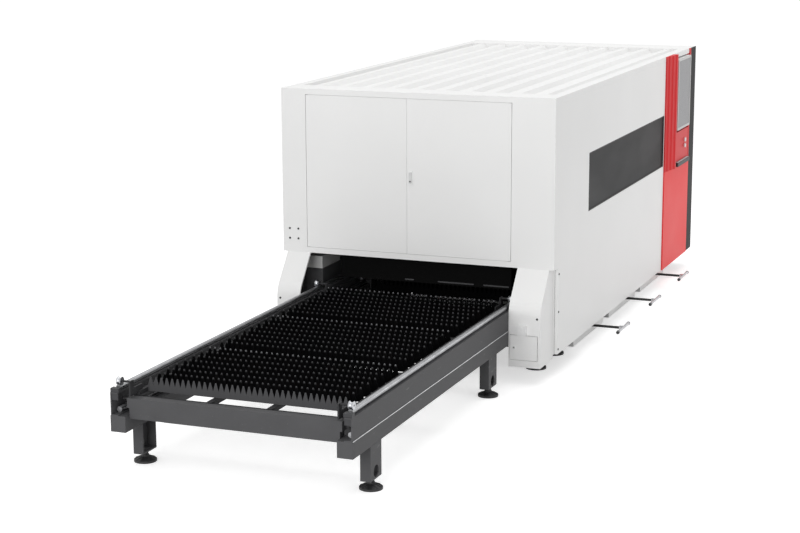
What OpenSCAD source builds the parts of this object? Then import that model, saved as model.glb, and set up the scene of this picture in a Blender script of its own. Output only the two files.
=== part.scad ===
// Fiber laser cutting machine with a two-tier pallet exchange table.
// Millimetres. +Z is up, the exchange table lies towards -Y, the operator stands at +X.

/* [Enclosure] */
// Width across the enclosure walls
body_w = 2500; // [2460:10:2700]
// Height of the roof above the floor
body_h = 2400; // [2300:10:2600]
// Length from the portal front to the rear wall
body_l = 5200; // [5100:10:5500]
// Thickness of the wall panels
panel_t = 30; // [22:1:36]
// Height of the walls' lower edge
skirt_z = 190; // [185:1:210]
// Depth of the front portal
portal_d = 135; // [115:1:150]
// Height of the roof frame
roof_t = 50; // [46:1:60]
// Height of the table mouth's upper edge
mouth_z = 950; // [930:5:1000]
// Height of the lintel over the mouth
lintel_h = 50; // [40:1:70]

/* [Front doors] */
// Width of the left door post
post_left_w = 230; // [200:5:260]
// Width of the right door post
post_right_w = 380; // [350:5:420]
// Thickness of the door leaves
door_t = 25; // [20:1:32]
// Gap round the door leaves
door_gap = 4; // [4:0.5:8]

/* [Leg covers] */
// How far the leg covers stand in front of the portal
leg_d = 236; // [200:2:240]
// Height of the knee where the slope ends
leg_knee_z = 660; // [640:5:720]
// Length of the knee's rounding
leg_knee_r = 70; // [30:5:90]
// Height of the covers' lower edge
leg_z = 150; // [130:2:180]
// How far the covers' outer sides stand in from the walls
leg_inset = 40; // [30:1:50]
// Width of the left cover
leg_left_w = 220; // [200:5:250]
// Width of the right cover
leg_right_w = 280; // [274:1:282]
// Wall thickness of the covers
cover_t = 12; // [11:1:14]

/* [Roof] */
// Number of roof ribs
rib_count = 10; // [6:1:11]
// Width of a rib's crest
rib_crest = 62; // [40:2:80]
// Sideways run of a rib's flank
rib_flank = 26; // [16:2:36]
// Height of a rib
rib_h = 36; // [24:1:38]
// Thickness of the ribbed sheet
sheet_t = 6; // [4:1:8]
// Flat margin at the sides of the roof
roof_side = 95; // [80:5:140]
// Flat margin at the front of the roof
roof_front = 270; // [200:10:340]
// Flat margin at the rear of the roof
roof_rear = 420; // [340:10:500]

/* [Side window] */
// Distance of the window from the portal front
window_y = 1045; // [800:5:1300]
// Height of the window's lower edge
window_z = 1280; // [1150:5:1400]
// Height of the window
window_h = 525; // [420:5:640]
// Thickness of the pane
pane_t = 10; // [6:1:12]

/* [Operator console] */
// Length of the console column along the wall
console_l = 1090; // [1060:5:1150]
// Length of the dark end panel behind it
end_l = 250; // [220:5:300]
// Height where the niche begins
niche_z = 1215; // [1150:5:1230]
// Length of the fluted cheek beside the niche
cheek_l = 330; // [290:5:350]
// Number of flutes on the cheek
flute_count = 3; // [2:1:5]
// Gap between the button box and the monitor case
monitor_gap = 24; // [10:1:60]
// Width of the monitor case
monitor_w = 560; // [500:5:580]
// Height of the button box
button_box_h = 310; // [260:5:320]
// Diameter of the push buttons
button_d = 44; // [36:1:50]

/* [Exchange table] */
// Distance of the table's front end from the portal
table_front = 3610; // [3600:2:3650]
// Distance of the table's rear end from the portal
table_rear = 250; // [246:2:280]
// Width of the box beams
beam_w = 120; // [110:1:121]
// Height of the box beams
beam_h = 120; // [100:1:130]
// Height of the box beams' underside
beam_z = 335; // [325:1:345]
// Height of the two-tier channels
channel_h = 170; // [168:1:176]
// Plate thickness of the channels
channel_t = 8; // [6:0.5:9]
// Distance of the rails' centre lines from the walls' outer faces
track_margin = 355; // [354:0.5:357]
// Diameter of the round rails
rail_d = 40; // [36:1:42]
// Width of a table leg along the table
table_leg_l = 200; // [170:5:240]
// Width of a table leg across the table
table_leg_w = 80; // [70:1:95]
// Diameter of the table's foot pads
table_pad_d = 170; // [140:2:180]
// Diameter of the bed's foot pads
bed_pad_d = 180; // [150:2:190]

/* [Pallets] */
// Distance of a slat's ends from the rails' centre lines
slat_margin = 110; // [109:0.5:120]
// Height of a slat with its teeth
slat_h = 106; // [90:1:110]
// Thickness of a slat
slat_t = 5; // [3:0.5:8]
// Distance of a bay's first and last slat from the cross members' middles
slat_lead = 99.5; // [80:0.5:140]
// Height of the teeth
tooth_h = 63; // [50:1:70]
// Number of teeth on a slat
tooth_count = 36; // [24:1:40]
// Number of slats in a bay
slats_per_bay = 8; // [6:1:8]
// Length of a pallet bay
bay_l = 1130; // [1120:1:1132]
// Distance of the inner pallet's rear end from the rear wall's outer face
pallet_rear = 855; // [850:5:875]
// Diameter of the pallet wheels
wheel_d = 60; // [58:0.5:62]
// Width of the pallet wheels
wheel_w = 34; // [32:0.5:34]

/* [Slag drawers] */
// Space between two slag drawers
drawer_space = 210; // [200:5:310]
// Distance of a slag drawer's far end from the left wall's outer face
tray_back = 450; // [420:10:600]
// Distance of the bed's first cross beam from the portal front
bed_cross_lead = 865; // [862:1:870]
// How far the T-handles stand out of the wall
handle_out = 228; // [180:2:280]
// Length of a T-handle's bar
grip_l = 390; // [320:5:440]
// Diameter of a T-handle's bar
grip_d = 28; // [22:1:32]

/* [Gantry and head] */
// Depth of the gantry beam
gantry_d = 240; // [200:5:260]
// Height of the gantry beam
gantry_h = 260; // [230:5:280]
// Distance of the parked gantry from the rear wall's outer face
gantry_rear = 1000; // [950:10:1050]
// Width of the head carriage
carriage_w = 260; // [220:5:300]
// Diameter of the cutting head's body
head_d = 96; // [80:2:104]

/* [Hidden] */
$fn = 48;

// Clearances and cutter overrun
run_gap = 0.05;
slide_gap = 0.3;
lug_gap = 0.5;
over = 20;

// Colours
white = [0.93, 0.93, 0.92];
grey = [0.34, 0.34, 0.35];
pale = [0.75, 0.75, 0.74];
dark = [0.16, 0.16, 0.17];
red = [0.85, 0.16, 0.16];
steel = [0.72, 0.73, 0.75];
black = [0.06, 0.06, 0.06];

// Enclosure places
wall_x = body_w/2;
wall_in = wall_x - panel_t;
roof_z = body_h - roof_t;
lintel_z = mouth_z + lintel_h;
rear_in = body_l - panel_t;
end_y = body_l - end_l;
console_y = end_y - console_l;
panel_groove = 6;
panel_groove_d = 3;
left_panels = 4;
rear_panels = 2;
window_margin = 10;

// Pallet track places across the machine
rail_r = rail_d/2;
rail_x = wall_x - track_margin;
rail_to_web = 36;
rail_to_track = 30;
rail_to_flange = 23;
rail_to_chain = 33;
web_out = rail_x + rail_to_web;
track_out = rail_x + rail_to_track;
flange_in = rail_x - rail_to_flange;
chain_x = rail_x - rail_to_chain;
beam_proud = 5;
beam_out = web_out + beam_proud;
beam_in = beam_out - beam_w;
bed_clear = 35;
bed_w = 160;
bed_in = track_out + bed_clear;
bed_out = bed_in + bed_w;

// Pallet track heights
rail_seat = 5;
saddle_w = 24;
beam_top = beam_z + beam_h;
channel_top = beam_top + channel_h;
lower_rail_z = beam_top + channel_t + rail_seat + rail_r;
upper_rail_z = channel_top + rail_seat + rail_r;
tier = upper_rail_z - lower_rail_z;

// Bed
bed_lead = 200;
bed_tail = 500;
bed_z = 240;
bed_top = 770;
bed_y1 = body_l - bed_tail;
cross_w = 120;
cross_z0 = 200;
cross_z1 = 330;
front_sheet_t = 12;
drawer_count = 3;
bed_cross_tail = 705;
drawer_pitch = (body_l - bed_cross_lead - bed_cross_tail)/drawer_count;
drawer_first = bed_cross_lead + drawer_pitch/2;
drawer_w = drawer_pitch - drawer_space;
front_foot_y = 330;
bed_foot_in = 40;
bed_cross_y = [for (k = [0 : drawer_count]) drawer_first + (k - 1/2)*drawer_pitch];
bed_foot_y = concat([front_foot_y], bed_cross_y);
bed_foot_x = bed_in + bed_foot_in;

// Levelling feet
pad_h = 16;
pad_rise = 20;
neck_r = 34;
stem_r = 14;
nut_r = 26;
nut_h = 20;
nut_drop = 6;

// Gantry guides on the bed
guide_w = 34;
guide_h = 30;
guide_end = 20;
rack_w = 24;
rack_off = 45;
guide_x = (bed_in + bed_out)/2;
end_cover_l = 400;
end_cover_h = 110;
end_cover_in = 5;
guide_y0 = bed_lead + end_cover_l + guide_end;
guide_y1 = bed_y1 - guide_end;

// Inner tracks and pallet rails
track_gap = 5;
track_y0 = -table_rear + track_gap;
track_tail = 180;
track_y1 = bed_y1 - track_tail;
standoff_l = 90;
standoff_h = 100;
standoff_low = 20;
standoff_count = 6;
rail_front = 60;
rail_rear = 120;
rail_y0 = -table_front + rail_front;
rail_y1 = track_y1 - rail_rear;

// Exchange chain and shaft
chain_r = 42.5;
chain_w = 14;
chain_t = 12;
chain_z = beam_top + channel_h/2;
shaft_back = 90;
idler_back = 170;
shaft_d = 30;
idler_pin_d = 20;
sprocket_w = 11;
shaft_y = track_y1 - shaft_back;
idler_y = -table_front + idler_back;
gear_w = 180;
gear_lead = 55;
gear_l = 180;
gear_top = 80;
motor_d = 150;
motor_l = 240;
fin_count = 9;
fin_d = 166;
fin_t = 8;

// Enclosure frame posts
post_w = 80;
post_lead = [280, 960];
post_tail = 140;
post_y = concat(post_lead, [console_y - post_tail]);
post_end_lead = 60;

// Doors, hinge pins and lock
door_x0 = -wall_x + post_left_w;
door_x1 = wall_x - post_right_w;
door_mid = (door_x0 + door_x1)/2;
pin_d = 8;
pin_in = 8;
pin_seat = 15;
pin_reach = 18;
rebate = 22;
rebate_gap = 4;
lock_w = 42;
lock_h = 122;
lock_t = 6;
lock_off = 36;
lock_up = 670;
lever_w = 24;
lever_h = 96;
lever_t = 9;
lever_pivot_share = 0.82;
boss_d = 14;

// Table mouth shutter and its guides
shutter_margin = 453;
shutter_x = wall_x - shutter_margin;
tongue = 15;
shutter_y = 240;
shutter_t = 18;
shutter_z = 700;
shutter_h = 600;
shutter_lift = 250;
tongue_up = 15;
guide_bar_w = 36;
guide_bar_d = 46;
guide_foot = 40;
slot_place_shares = [-0.238, 0.151, 0.678];
slot_length_shares = [0.105, 0.418, 0.295];
shutter_slot_h = 14;
shutter_slot_z = 14;

// Leg covers, hatch, sensor box and bolts
leg_out = wall_x - leg_inset;
mouth_left = leg_out - leg_left_w;
mouth_right = leg_out - leg_right_w;
knee_steps = 8;
hatch_in = 15;
hatch_w = 238;
hatch_z = 214;
hatch_h = 210;
hatch_gap = 4;
hatch_pin_d = 5;
hatch_pin_in = 7;
hatch_pin_reach = 12;
hatch_knob_d = 26;
hatch_knob_t = 8;
hatch_knob_in = 36;
arm_in = 4;
arm_t = 6;
arm_z = 444;
arm_h = 58;
sensor_w = 76;
sensor_h = 84;
sensor_d = 26;
sensor_in = 84;
sensor_z = 431;
sensor_r = 6;
bolt_d = 18;
bolt_t = 5;
bolt_x = [64, 146];
bolt_z = [120, 208];
leg_bolt_in = 30;
leg_bolt_drop = 14;
side_bolt_in = 16;
side_bolt_z = [233, 561, 891];

// Operator console
console_d = 90;
console_proud = 12;
back_t = 20;
jamb_w = 40;
cheek_out = 52;
cheek_nose = 36;
flute_r = 60;
flute_depth = 9;
niche_x = wall_x - console_d + back_t;
niche_y0 = console_y + cheek_l;
niche_y1 = end_y - jamb_w;
niche_mid = (niche_y0 + niche_y1)/2;
monitor_top = 10;
monitor_out = 42;
monitor_r = 14;
bezel = 24;
screen_t = 8;
screen_in = 3;
box_out = 26;
box_up = 46;
box_r = 10;
button_y = 115;
button_gap = 62;
button_low = 40;
button_h = 12;
button_stem_d = 26;
button_stem = 18;
button_travel = 5;
shelf_l = 540;
shelf_h = 40;
shelf_out = 56;
end_proud = 6;

// Table frame
leg_off = 310;
leg_plate = 9;
leg_foot_z = 78;
leg_foot_t = 12;
arch_w = 90;
arch_h = 70;
arch_up = 18;
front_cross_y = 60;
front_cross_d = 80;
front_cross_drop = 30;
front_cross_h = 152;
front_cross_end = 16;
end_bar_h = 75;
low_cross_h = 110;
low_cross_over = 30;
low_cross_w = 90;
low_cross_shares = [0.18, 0.56, 0.9];
stop_in = 7;
stop_d = 44;
stop_y = 5;
stop_h = 30;
stop_plate_t = 12;
stop_plate_h = 47;

// Pallets
pallet_count_bays = 3;
pallet_back = 165;
pallet_drop = 110;
slat_up = 36;
slat_fit = 1;
side_w = 25;
side_h = 65;
member_w = 50;
member_top = 50;
member_end = 20;
long_x = 235;
long_w = 40;
ledge_w = 25;
ledge_h = 16;
tip_share = 0.2;
pallet_y0 = -table_front + pallet_back;
pallet_l = pallet_count_bays*bay_l + member_w;
pallet_z = upper_rail_z - pallet_drop;
slat_z = pallet_z + slat_up;
slat_w = 2*(rail_x - slat_margin);
stroke = body_l - pallet_rear - (pallet_y0 + pallet_l);
side_in = slat_w/2 + slat_fit;
pallet_out = side_in + side_w;
slat_pitch = (bay_l - 2*slat_lead)/(slats_per_bay - 1);

// Pallet wheels
groove_r = 22;
axle_d = 16;
wheel_lead = 82;
wheel_tail = 60;
plate_t = 12;
plate_low = 50;
plate_strap = 55;
plate_r = 26;
plate_top = 8.5;
plate_back = 150;
lug_w = 30;
lug_h = 30;
lug_hold = 8;
axle_z = upper_rail_z + rail_r + groove_r;
front_wheel_y = pallet_y0 - wheel_lead;
rear_wheel_y = pallet_y0 + pallet_l - wheel_tail;
lower_wheel_y = pallet_y0 + wheel_tail;

// Slag drawers
tray_t = 8;
tray_z0 = 50;
tray_z1 = 176;
tray_lip = 28;
tray_front = 100;
runner_t = 8;
runner_drop = 80;
runner_front = 20;
side_slack = 7;
rod_d = 24;
rod_z = 140;
sleeve_d = 38;
sleeve_l = 34;
cap_rim = 5;
cap_l = 34;
tray_x1 = wall_x - tray_front;
tray_x0 = -wall_x + tray_back;
grip_x = wall_x + handle_out;

// Gantry, carriage and cutting head
truck_w = 110;
truck_l = 300;
truck_h = 70;
gantry_end = 15;
x_rail_w = 30;
x_rail_d = 20;
x_rail_end = 140;
x_rail_shares = [0.25, 0.75];
gantry_pocket = 8;
pocket_count = 7;
pocket_gap = 60;
carriage_x = -600;
carriage_t = 40;
carriage_up = 40;
carriage_low = 20;
z_rail_w = 44;
z_rail_d = 15;
z_motor_w = 110;
z_motor_h = 200;
head_plate_w = 150;
head_plate_t = 30;
head_plate_h = 210;
head_plate_z = 890;
head_off = 62;
nozzle_z = 702;
nozzle_shares = [0.06, 0.1, 0.3, 0.34, 0.44, 0.5];
head_steps = [0, 14, 52, 60, 120, 150];
head_cap_h = 70;
head_cap_share = 0.36;
head_z1 = 1150;
truck_z = bed_top + guide_h + slide_gap;
gantry_z = truck_z + truck_h;
gantry_x = bed_out - gantry_end;
gantry_y = body_l - gantry_rear;
gantry_face = gantry_y - gantry_d/2;
carriage_y = gantry_face - x_rail_d - slide_gap;
head_y = carriage_y - carriage_t - z_rail_d - slide_gap;

// Shift that puts the origin under the middle of the whole object
mid_x = (handle_out + (grip_d + cap_rim)/2)/2;
mid_y = (body_l - table_front)/2;

// Helpers
module seat() translate([-mid_x, -mid_y, 0]) children();
module box(a, b) translate(a) cube(b - a);
module both_sides() {
    children();
    mirror([1, 0, 0]) children();
}
module rod_x(x0, x1, y, z, d) translate([x0, y, z]) rotate([0, 90, 0]) cylinder(d = d, h = x1 - x0);
module rod_y(y0, y1, x, z, d) translate([x, y1, z]) rotate([90, 0, 0]) cylinder(d = d, h = y1 - y0);
module rod_z(z0, z1, x, y, d) translate([x, y, z0]) cylinder(d = d, h = z1 - z0);
module along_x(x0, x1) translate([x0, 0, 0]) rotate([90, 0, 90]) linear_extrude(x1 - x0) children();
module along_y(y0, y1) translate([0, y1, 0]) rotate([90, 0, 0]) linear_extrude(y1 - y0) children();
module round_rect(a, b, r) {
    translate([a[0] + r, a[1]]) square([b[0] - a[0] - 2*r, b[1] - a[1]]);
    translate([a[0], a[1] + r]) square([b[0] - a[0], b[1] - a[1] - 2*r]);
    for (x = [a[0] + r, b[0] - r], y = [a[1] + r, b[1] - r]) translate([x, y]) circle(r);
}

// Bed frame with the drawer runners
module drawer_runner() {
    leg_y = drawer_pitch/2 - cross_w/2;
    z0 = bed_z - runner_drop;
    x1 = bed_out - runner_front;
    box([tray_x0, -leg_y, z0], [x1, -leg_y + runner_t, bed_z]);
    box([tray_x0, -leg_y, z0], [x1, -drawer_w/2 - side_slack, z0 + runner_t]);
}

module bed_frame() color(grey) {
    both_sides() box([bed_in, bed_lead, bed_z], [bed_out, bed_y1, bed_top]);
    for (y = concat([bed_lead + cross_w/2], bed_cross_y))
        box([-bed_in, y - cross_w/2, cross_z0], [bed_in, y + cross_w/2, cross_z1]);
    box([-bed_in, bed_lead, cross_z0], [bed_in, bed_cross_y[0], cross_z0 + front_sheet_t]);
    for (k = [0 : drawer_count - 1], m = [0, 1])
        translate([0, drawer_first + k*drawer_pitch, 0]) mirror([0, m, 0]) drawer_runner();
}

// One levelling foot from the floor to the face it carries
module foot(x, y, top, pad_d) translate([x, y, 0]) {
    rotate_extrude() polygon([[0, 0], [pad_d/2, 0], [pad_d/2, pad_h], [neck_r, pad_h + pad_rise],
        [stem_r, pad_h + pad_rise], [stem_r, top], [0, top]]);
    translate([0, 0, top - nut_drop - nut_h]) cylinder(r = nut_r, h = nut_h, $fn = 6);
}

module levelling_feet() color(black) both_sides() {
    for (y = bed_foot_y) foot(bed_foot_x, y, bed_z, bed_pad_d);
    for (y = [table_leg_y(0), table_leg_y(1)])
        foot(beam_out - table_leg_w/2, y, leg_foot_z, table_pad_d);
}

// Linear rail and rack of the gantry on each bed beam
module y_guides() color(steel) both_sides() {
    box([guide_x - guide_w/2, guide_y0, bed_top], [guide_x + guide_w/2, guide_y1, bed_top + guide_h]);
    box([guide_x + rack_off - rack_w/2, guide_y0, bed_top],
        [guide_x + rack_off + rack_w/2, guide_y1, bed_top + rack_w]);
}

module guide_end_covers() color(pale) both_sides()
    box([bed_in + end_cover_in, bed_lead, bed_top],
        [bed_out - end_cover_in, bed_lead + end_cover_l, bed_top + end_cover_h]);

// C section of a two-tier track, and the seats of its two rails
module track_section(outer) {
    translate([outer - channel_t, beam_top]) square([channel_t, channel_h]);
    for (z = [beam_top, channel_top - channel_t])
        translate([flange_in, z]) square([outer - flange_in, channel_t]);
}

module rail_seats(y0, y1) for (z = [beam_top + channel_t, channel_top])
    box([rail_x - saddle_w/2, y0, z], [rail_x + saddle_w/2, y1, z + rail_seat]);

module inner_tracks() color(grey) difference() {
    both_sides() {
        along_y(track_y0, track_y1) track_section(track_out);
        rail_seats(track_y0, rail_y1);
        for (k = [0 : standoff_count - 1])
            let (y = bed_lead + k*(track_y1 - bed_lead - standoff_l)/(standoff_count - 1))
            box([track_out, y, beam_top + standoff_low],
                [bed_in, y + standoff_l, beam_top + standoff_low + standoff_h]);
    }
    rod_x(-bed_in - over, bed_in + over, shaft_y, chain_z, shaft_d + 2*run_gap);
}

module pallet_rails() color(steel) both_sides()
    for (z = [lower_rail_z, upper_rail_z]) rod_y(rail_y0, rail_y1, rail_x, z, rail_d);

// Posts between the bed and the walls
module frame_posts() color(grey) both_sides() {
    for (y = post_y) box([bed_out, y, skirt_z], [wall_in, y + post_w, roof_z]);
    box([bed_out, end_y + post_end_lead, skirt_z], [wall_in, end_y + post_end_lead + post_w, roof_z]);
}

// Roof frame round the ribbed sheet
module roof_frame() color(white) difference() {
    box([-wall_x, 0, roof_z], [wall_x, body_l, body_h]);
    box([-wall_x + roof_side, roof_front, roof_z - over],
        [wall_x - roof_side, body_l - roof_rear, body_h + over]);
    for (x = [door_x0 + door_gap + pin_in, door_x1 - door_gap - pin_in])
        rod_z(roof_z - over, roof_z + pin_seat, x, pin_in, pin_d + 2*run_gap);
}

// Corrugated roof sheet, one trapezoid rib after the other
module roof_sheet() {
    w = body_w - 2*roof_side;
    pitch = w/rib_count;
    foot = rib_crest/2 + rib_flank;
    rib = [[-foot, 0], [-rib_crest/2, rib_h], [rib_crest/2, rib_h], [foot, 0]];
    ribs = [for (k = [0 : rib_count - 1], p = rib) [-w/2 + (k + 1/2)*pitch + p[0], p[1]]];
    line = concat([[-w/2, 0]], ribs, [[w/2, 0]]);
    top = [for (p = line) [p[0], roof_z + sheet_t + p[1]]];
    under = [for (k = [len(line) - 1 : -1 : 0]) [line[k][0], roof_z + line[k][1]]];
    color(white) along_y(roof_front, body_l - roof_rear) polygon(concat(top, under));
}

module wall_left() color(white) difference() {
    box([-wall_x, portal_d, skirt_z], [-wall_in, rear_in, roof_z]);
    for (k = [1 : left_panels - 1])
        let (y = portal_d + k*(rear_in - portal_d)/left_panels)
        box([-wall_x - over, y - panel_groove/2, skirt_z - over],
            [-wall_x + panel_groove_d, y + panel_groove/2, roof_z + over]);
}

module wall_right() color(white) difference() {
    box([wall_in, portal_d, skirt_z], [wall_x, console_y, roof_z]);
    box([wall_in - over, window_y, window_z],
        [wall_x + over, console_y - window_margin, window_z + window_h]);
}

module wall_rear() color(white) difference() {
    box([-wall_x, rear_in, skirt_z], [wall_in, body_l, roof_z]);
    for (k = [1 : rear_panels - 1])
        let (x = -wall_x + k*body_w/rear_panels)
        box([x - panel_groove/2, body_l - panel_groove_d, skirt_z - over],
            [x + panel_groove/2, body_l + over, roof_z + over]);
}

module side_window() color(dark)
    translate([wall_x - panel_t/2 - pane_t/2, window_y, window_z])
        cube([pane_t, console_y - window_margin - window_y, window_h]);

module end_panel() color(dark) {
    box([wall_in, end_y, skirt_z], [wall_x, body_l, roof_z]);
    box([wall_x, end_y, skirt_z], [wall_x + end_proud, body_l, body_h]);
}

// Front portal with the guides of the shutter
module shutter_guide() {
    y1 = shutter_y + shutter_t/2 + guide_bar_d/2;
    y0 = y1 - guide_bar_d;
    stop_z = mouth_z + tongue_up;
    difference() {
        box([shutter_x + slide_gap, y0, mouth_z],
            [shutter_x + guide_bar_w, y1, shutter_z + shutter_h + shutter_lift + guide_foot]);
        box([shutter_x - over, shutter_y - slide_gap, stop_z],
            [shutter_x + tongue + slide_gap, shutter_y + shutter_t + slide_gap,
             shutter_z + shutter_h + shutter_lift + guide_foot + over]);
    }
    box([shutter_x + slide_gap, portal_d, mouth_z], [shutter_x + guide_bar_w, y0, mouth_z + guide_foot]);
}

module front_portal() color(white) {
    difference() {
        box([-wall_x, 0, mouth_z], [wall_x, portal_d, roof_z]);
        box([door_x0, -over, lintel_z], [door_x1, door_t + rebate_gap, roof_z + over]);
        box([door_x0 + rebate, -over, lintel_z + rebate],
            [door_x1 - rebate, portal_d + over, roof_z - rebate]);
        for (x = [door_x0 + door_gap + pin_in, door_x1 - door_gap - pin_in])
            rod_z(lintel_z - pin_seat, lintel_z + over, x, pin_in, pin_d + 2*run_gap);
    }
    both_sides() shutter_guide();
}

module mouth_shutter() color(dark) difference() {
    union() {
        box([-shutter_x, shutter_y, shutter_z], [shutter_x, shutter_y + shutter_t, shutter_z + shutter_h]);
        box([-shutter_x - tongue, shutter_y, mouth_z + tongue_up],
            [shutter_x + tongue, shutter_y + shutter_t, shutter_z + shutter_h]);
    }
    for (k = [0 : len(slot_place_shares) - 1]) let (x = slot_place_shares[k]*shutter_x)
        box([x, shutter_y - over, shutter_z + shutter_slot_z],
            [x + slot_length_shares[k]*shutter_x, shutter_y + shutter_t + over,
             shutter_z + shutter_slot_z + shutter_slot_h]);
}

// Front doors on vertical pins
module leaf(x0, x1, pin_x) color(white) difference() {
    box([x0, 0, lintel_z + door_gap], [x1, door_t, roof_z - door_gap]);
    rod_z(lintel_z - over, lintel_z + door_gap + pin_reach, pin_x, pin_in, pin_d + 2*run_gap);
    rod_z(roof_z - door_gap - pin_reach, roof_z + over, pin_x, pin_in, pin_d + 2*run_gap);
}

module door_left() leaf(door_x0 + door_gap, door_mid - door_gap/2, door_x0 + door_gap + pin_in);
module door_right() leaf(door_mid + door_gap/2, door_x1 - door_gap, door_x1 - door_gap - pin_in);

module hinge_pins() color(steel) {
    for (x = [door_x0 + door_gap + pin_in, door_x1 - door_gap - pin_in]) {
        rod_z(lintel_z - pin_seat, lintel_z + door_gap + pin_reach, x, pin_in, pin_d);
        rod_z(roof_z - door_gap - pin_reach, roof_z + pin_seat, x, pin_in, pin_d);
    }
    for (z = [hatch_z - hatch_gap - hatch_pin_reach, hatch_z + hatch_h - hatch_pin_reach])
        rod_z(z, z + hatch_gap + 2*hatch_pin_reach, hatch_pin_x(), hatch_pin_y(), hatch_pin_d);
}

// Cabinet lock beside the meeting edge of the doors
function lock_x() = door_mid + lock_off;
function lock_z() = lintel_z + lock_up;
function lever_z() = lock_z() - lever_h*(lever_pivot_share - 1/2);

module door_lock() color(grey) difference() {
    along_y(-lock_t, 0) round_rect([lock_x() - lock_w/2, lock_z() - lock_h/2],
        [lock_x() + lock_w/2, lock_z() + lock_h/2], sensor_r);
    rod_y(-lock_t - over, over, lock_x(), lever_z(), boss_d + 2*run_gap);
}

module lock_handle() color(pale) {
    along_y(-lock_t - lever_t, -lock_t - slide_gap)
        round_rect([lock_x() - lever_w/2, lock_z() - lever_h/2],
            [lock_x() + lever_w/2, lock_z() + lever_h/2], sensor_r);
    rod_y(-lock_t - lever_t, -slide_gap, lock_x(), lever_z(), boss_d);
}

// Leg covers beside the table mouth
function knee_curve(a, c, b) = [for (k = [0 : knee_steps]) let (s = k/knee_steps)
    (1 - s)*(1 - s)*a + 2*s*(1 - s)*c + s*s*b];

module leg_side() {
    corner = [-leg_d, leg_knee_z];
    slope = [0, mouth_z] - corner;
    polygon(concat([[portal_d, leg_z], [-leg_d, leg_z]],
        knee_curve(corner - [0, leg_knee_r], corner, corner + leg_knee_r*slope/norm(slope)),
        [[0, mouth_z], [portal_d, mouth_z]]));
}

// Folded sheet, open towards the mouth, the floor and the machine
module leg_shell(inner) translate([inner, 0, 0]) {
    difference() {
        along_x(0, leg_out - inner) leg_side();
        along_x(-over, leg_out - inner - cover_t) translate([cover_t, -cover_t]) leg_side();
    }
    box([leg_out - inner - cover_t, portal_d - cover_t, skirt_z], [wall_in - inner, portal_d, mouth_z]);
}

module leg_cover_left() color(white) mirror([1, 0, 0]) leg_shell(mouth_left);

function hatch_x0() = mouth_right + hatch_in;
function hatch_pin_x() = hatch_x0() + hatch_w - hatch_pin_in;
function hatch_pin_y() = -leg_d + cover_t/2;

module leg_cover_right() color(white) difference() {
    leg_shell(mouth_right);
    box([hatch_x0() - hatch_gap, -leg_d - over, hatch_z - hatch_gap],
        [hatch_x0() + hatch_w + hatch_gap, -leg_d + cover_t + over, hatch_z + hatch_h + hatch_gap]);
    rod_z(hatch_z - hatch_gap - hatch_pin_reach, hatch_z + hatch_h + hatch_gap + hatch_pin_reach,
        hatch_pin_x(), hatch_pin_y(), hatch_pin_d + 2*run_gap);
}

module hatch_door() color(white) difference() {
    union() {
        box([hatch_x0(), -leg_d, hatch_z], [hatch_x0() + hatch_w, -leg_d + cover_t, hatch_z + hatch_h]);
        rod_y(-leg_d - hatch_knob_t, -leg_d, hatch_x0() + hatch_knob_in, hatch_z + hatch_h/2, hatch_knob_d);
    }
    for (z = [hatch_z - over, hatch_z + hatch_h - hatch_pin_reach])
        rod_z(z, z + over + hatch_pin_reach, hatch_pin_x(), hatch_pin_y(), hatch_pin_d + 2*run_gap);
}

module sensor_box() color(pale) {
    along_y(-leg_d - sensor_d, -leg_d) round_rect([mouth_right + sensor_in, sensor_z],
        [mouth_right + sensor_in + sensor_w, sensor_z + sensor_h], sensor_r);
    box([mouth_right + arm_in, -leg_d - arm_t, arm_z], [mouth_right + sensor_in, -leg_d, arm_z + arm_h]);
}

module cover_bolts() color(dark) {
    for (x = bolt_x, z = bolt_z) rod_y(-bolt_t, 0, -wall_x + x, mouth_z + z, bolt_d);
    leg_bolt_z = leg_knee_z - leg_knee_r - leg_bolt_drop;
    both_sides() rod_y(-leg_d - bolt_t, -leg_d, leg_out - leg_bolt_in, leg_bolt_z, bolt_d);
    for (z = side_bolt_z) rod_x(wall_x, wall_x + bolt_t, portal_d + side_bolt_in, z, bolt_d);
}

// Operator console in the right wall
module cheek_section() difference() {
    polygon([[wall_x, console_y], [wall_x + console_proud, console_y],
        [wall_x + cheek_out, niche_y0 - cheek_nose], [wall_x + cheek_out, niche_y0], [wall_x, niche_y0]]);
    for (k = [0 : flute_count - 1])
        let (s = (k + 1/2)/flute_count, run = cheek_l - cheek_nose)
        translate([wall_x + console_proud + s*(cheek_out - console_proud) + flute_r - flute_depth,
            console_y + s*run]) circle(flute_r);
}

module console_column() color(red) {
    box([wall_x - console_d, console_y, skirt_z], [wall_x, end_y, niche_z]);
    box([wall_x, console_y, skirt_z], [wall_x + console_proud, end_y, niche_z]);
    box([wall_x - console_d, console_y, niche_z], [niche_x, end_y, roof_z]);
    box([niche_x, console_y, niche_z], [wall_x, niche_y0, roof_z]);
    box([niche_x, niche_y1, niche_z], [wall_x, end_y, roof_z]);
    box([wall_x, niche_y1, niche_z], [wall_x + console_proud, end_y, body_h]);
    translate([0, 0, niche_z]) linear_extrude(body_h - niche_z) cheek_section();
}

function monitor_z1() = roof_z - monitor_top;
function monitor_z0() = niche_z + box_up + button_box_h + monitor_gap;

module screen_slab(out) let (half = monitor_w/2 - bezel, x = wall_x + monitor_out)
    box([x - screen_t - screen_in, niche_mid - half, monitor_z0() + bezel],
        [x + out, niche_mid + half, monitor_z1() - bezel]);

module monitor_case() color(pale) difference() {
    along_x(niche_x, wall_x + monitor_out)
        round_rect([niche_mid - monitor_w/2, monitor_z0()],
            [niche_mid + monitor_w/2, monitor_z1()], monitor_r);
    screen_slab(over);
}

module monitor_screen() color(grey) screen_slab(-screen_in);

function button_z(k) = niche_z + box_up + button_box_h/2 + button_low - k*button_gap;

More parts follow.
